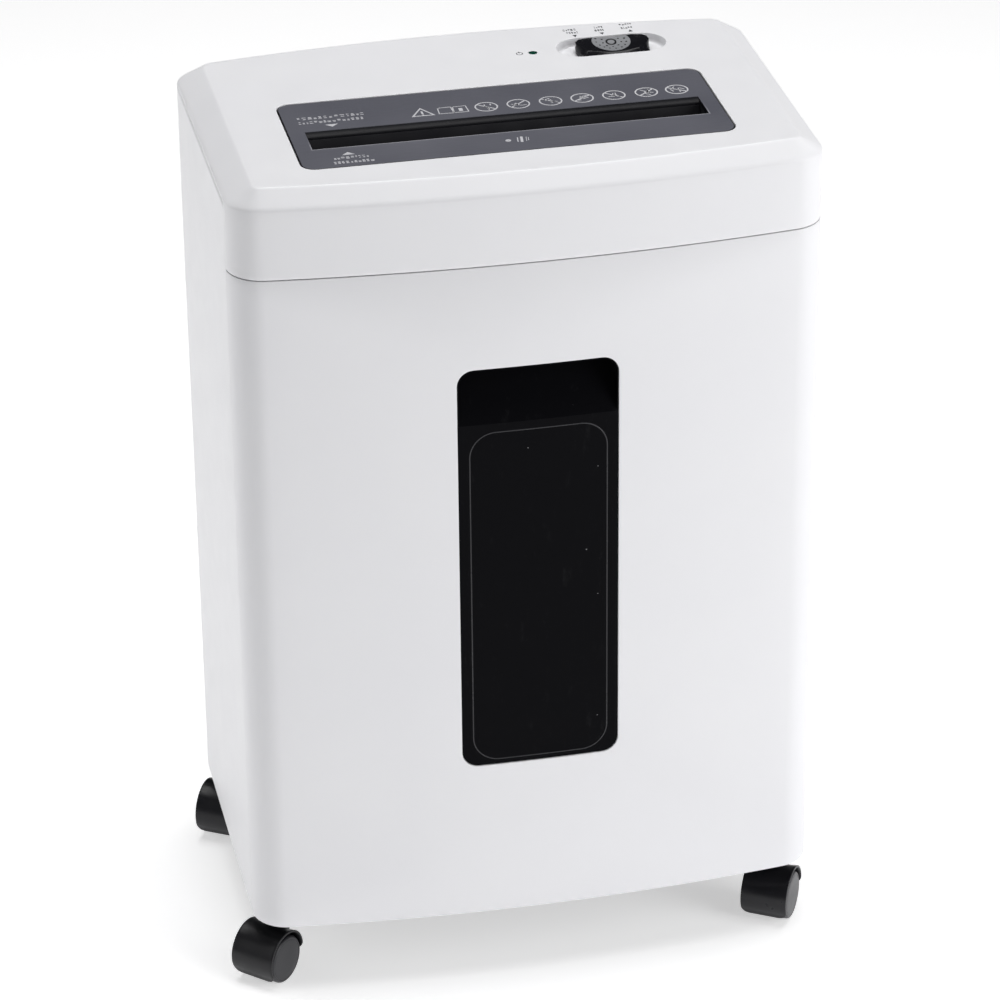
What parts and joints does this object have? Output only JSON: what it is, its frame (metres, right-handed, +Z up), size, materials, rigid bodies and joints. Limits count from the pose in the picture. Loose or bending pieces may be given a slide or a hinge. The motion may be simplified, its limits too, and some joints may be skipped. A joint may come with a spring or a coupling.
{
  "type": "paper shredder",
  "caption": "White upright paper shredder with a top feed slot, sliding mode switch, pull-out bin with a smoked window and hooded twin-wheel casters.",
  "frame": {"origin": "on the floor under the middle of the body", "axes": "+Z up, the bin and the feed plate face -Y, +X to the right when looking at the front"},
  "size_m": [0.3599, 0.224, 0.5087],
  "materials": {
    "white_shell": "satin moulded",
    "black_plastic": "satin moulded",
    "slate_plate": "satin",
    "smoked_black": "gloss",
    "grey_pad": "textured",
    "grey_plastic": "natural",
    "green_lens": "clear tinted",
    "circuit_board": "solder mask",
    "steel_plate": "zinc plated",
    "cutter_steel": "ground",
    "bronze": "sintered",
    "black_rubber": "moulded",
    "wheel_tread": "satin"
  },
  "bodies": {
    "cabinet": {"side_panel_left": "white_shell", "side_panel_right": "white_shell", "back_panel": "white_shell", "base_plate": "black_plastic", "top_cover": "white_shell", "feed_plate": "slate_plate", "paper_chute": "black_plastic", "paper_switch": "black_plastic", "control_board": "circuit_board", "power_lens": "green_lens", "mode_switch": "black_plastic", "head_tray": "black_plastic", "bin_switch": "black_plastic", "comb_front": "grey_plastic", "comb_rear": "grey_plastic", "frame_left": "steel_plate", "frame_right": "steel_plate", "cutter_bushes": "bronze", "tie_rods": "steel_plate", "motor_casing": "steel_plate", "gear_bracket": "steel_plate", "gear_axles": "steel_plate", "cord_gland": "black_rubber"},
    "bin": {"bin_front": "white_shell", "bin_window": "smoked_black", "bin_tub": "grey_plastic", "bin_screws": "steel_plate"},
    "knob": {"mode_knob": "black_plastic", "knob_pad": "grey_pad"},
    "plunger": {"bin_plunger": "grey_plastic"},
    "lever": {"paper_lever": "black_plastic"},
    "front_cutter": {"cutter_front": "cutter_steel", "sync_front_gear": "cutter_steel"},
    "rear_cutter": {"cutter_rear": "cutter_steel", "sync_rear_gear": "cutter_steel", "output_gear": "cutter_steel"},
    "second_gear": {"second_gear": "grey_plastic"},
    "first_gear": {"first_gear": "grey_plastic"},
    "rotor": {"motor_rotor": "cutter_steel", "motor_pinion": "cutter_steel"},
    "caster_front_left": {"hood_front_left": "black_plastic", "stem_front_left": "steel_plate", "axle_front_left": "steel_plate"},
    "wheel_front_left_left": {"wheel_front_left_left": "wheel_tread"},
    "wheel_front_left_right": {"wheel_front_left_right": "wheel_tread"},
    "caster_front_right": {"hood_front_right": "black_plastic", "stem_front_right": "steel_plate", "axle_front_right": "steel_plate"},
    "wheel_front_right_left": {"wheel_front_right_left": "wheel_tread"},
    "wheel_front_right_right": {"wheel_front_right_right": "wheel_tread"},
    "caster_rear_left": {"hood_rear_left": "black_plastic", "stem_rear_left": "steel_plate", "axle_rear_left": "steel_plate"},
    "wheel_rear_left_left": {"wheel_rear_left_left": "wheel_tread"},
    "wheel_rear_left_right": {"wheel_rear_left_right": "wheel_tread"},
    "caster_rear_right": {"hood_rear_right": "black_plastic", "stem_rear_right": "steel_plate", "axle_rear_right": "steel_plate"},
    "wheel_rear_right_left": {"wheel_rear_right_left": "wheel_tread"},
    "wheel_rear_right_right": {"wheel_rear_right_right": "wheel_tread"}
  },
  "joints": [
    {"name": "bin_slide", "type": "slide", "parent": "cabinet", "child": "bin", "axis": [0, -1, 0], "range_m": [0, 0.2]},
    {"name": "knob_slide", "type": "slide", "parent": "cabinet", "child": "knob", "axis": [1, 0, 0], "range_m": [-0.0105, 0.0075]},
    {"name": "plunger_slide", "type": "slide", "parent": "cabinet", "child": "plunger", "axis": [0, 1, 0], "range_m": [0, 0.0018], "stiffness_N_per_m": 150},
    {"name": "lever_pivot", "type": "hinge", "parent": "cabinet", "child": "lever", "pos_m": [0.0033, -0.062, 0.4903], "axis": [1, 0, 0], "range_deg": [-20, 0], "stiffness_Nm_per_rad": 0.02},
    {"name": "rear_cutter_spin", "type": "hinge", "parent": "cabinet", "child": "rear_cutter", "pos_m": [0, -0.022, 0.4423], "axis": [1, 0, 0], "continuous": true},
    {"name": "front_cutter_spin", "type": "hinge", "parent": "cabinet", "child": "front_cutter", "pos_m": [0, -0.056, 0.4423], "axis": [1, 0, 0], "continuous": true},
    {"name": "second_gear_spin", "type": "hinge", "parent": "cabinet", "child": "second_gear", "pos_m": [0.145, 0.01401, 0.42731], "axis": [1, 0, 0], "continuous": true},
    {"name": "first_gear_spin", "type": "hinge", "parent": "cabinet", "child": "first_gear", "pos_m": [0.132, 0.04199, 0.44833], "axis": [1, 0, 0], "continuous": true},
    {"name": "rotor_spin", "type": "hinge", "parent": "cabinet", "child": "rotor", "pos_m": [0.08, 0.06026, 0.42084], "axis": [1, 0, 0], "continuous": true},
    {"name": "swivel_front_left", "type": "hinge", "parent": "cabinet", "child": "caster_front_left", "pos_m": [-0.1518, -0.0758, 0.0437], "axis": [0, 0, 1], "continuous": true},
    {"name": "roll_front_left_left", "type": "hinge", "parent": "caster_front_left", "child": "wheel_front_left_left", "pos_m": [-0.1584, -0.08263, 0.0145], "axis": [-0.7193, 0.6947, 0], "continuous": true},
    {"name": "roll_front_left_right", "type": "hinge", "parent": "caster_front_left", "child": "wheel_front_left_right", "pos_m": [-0.1584, -0.08263, 0.0145], "axis": [-0.7193, 0.6947, 0], "continuous": true},
    {"name": "swivel_front_right", "type": "hinge", "parent": "cabinet", "child": "caster_front_right", "pos_m": [0.1518, -0.0758, 0.0437], "axis": [0, 0, 1], "continuous": true},
    {"name": "roll_front_right_left", "type": "hinge", "parent": "caster_front_right", "child": "wheel_front_right_left", "pos_m": [0.14677, -0.08386, 0.0145], "axis": [-0.848, 0.5299, 0], "continuous": true},
    {"name": "roll_front_right_right", "type": "hinge", "parent": "caster_front_right", "child": "wheel_front_right_right", "pos_m": [0.14677, -0.08386, 0.0145], "axis": [-0.848, 0.5299, 0], "continuous": true},
    {"name": "swivel_rear_left", "type": "hinge", "parent": "cabinet", "child": "caster_rear_left", "pos_m": [-0.1518, 0.088, 0.0437], "axis": [0, 0, 1], "continuous": true},
    {"name": "roll_rear_left_left", "type": "hinge", "parent": "caster_rear_left", "child": "wheel_rear_left_left", "pos_m": [-0.15683, 0.07994, 0.0145], "axis": [-0.848, 0.5299, 0], "continuous": true},
    {"name": "roll_rear_left_right", "type": "hinge", "parent": "caster_rear_left", "child": "wheel_rear_left_right", "pos_m": [-0.15683, 0.07994, 0.0145], "axis": [-0.848, 0.5299, 0], "continuous": true},
    {"name": "swivel_rear_right", "type": "hinge", "parent": "cabinet", "child": "caster_rear_right", "pos_m": [0.1518, 0.088, 0.0437], "axis": [0, 0, 1], "continuous": true},
    {"name": "roll_rear_right_left", "type": "hinge", "parent": "caster_rear_right", "child": "wheel_rear_right_left", "pos_m": [0.15816, 0.08094, 0.0145], "axis": [-0.7431, -0.6691, 0], "continuous": true},
    {"name": "roll_rear_right_right", "type": "hinge", "parent": "caster_rear_right", "child": "wheel_rear_right_right", "pos_m": [0.15816, 0.08094, 0.0145], "axis": [-0.7431, -0.6691, 0], "continuous": true}
  ],
  "couplings": [
    {"joint": "front_cutter_spin", "follows": "rear_cutter_spin", "ratio": -1},
    {"joint": "second_gear_spin", "follows": "rear_cutter_spin", "ratio": -3.3333},
    {"joint": "first_gear_spin", "follows": "rear_cutter_spin", "ratio": 12.222},
    {"joint": "rotor_spin", "follows": "rear_cutter_spin", "ratio": -55}
  ]
}
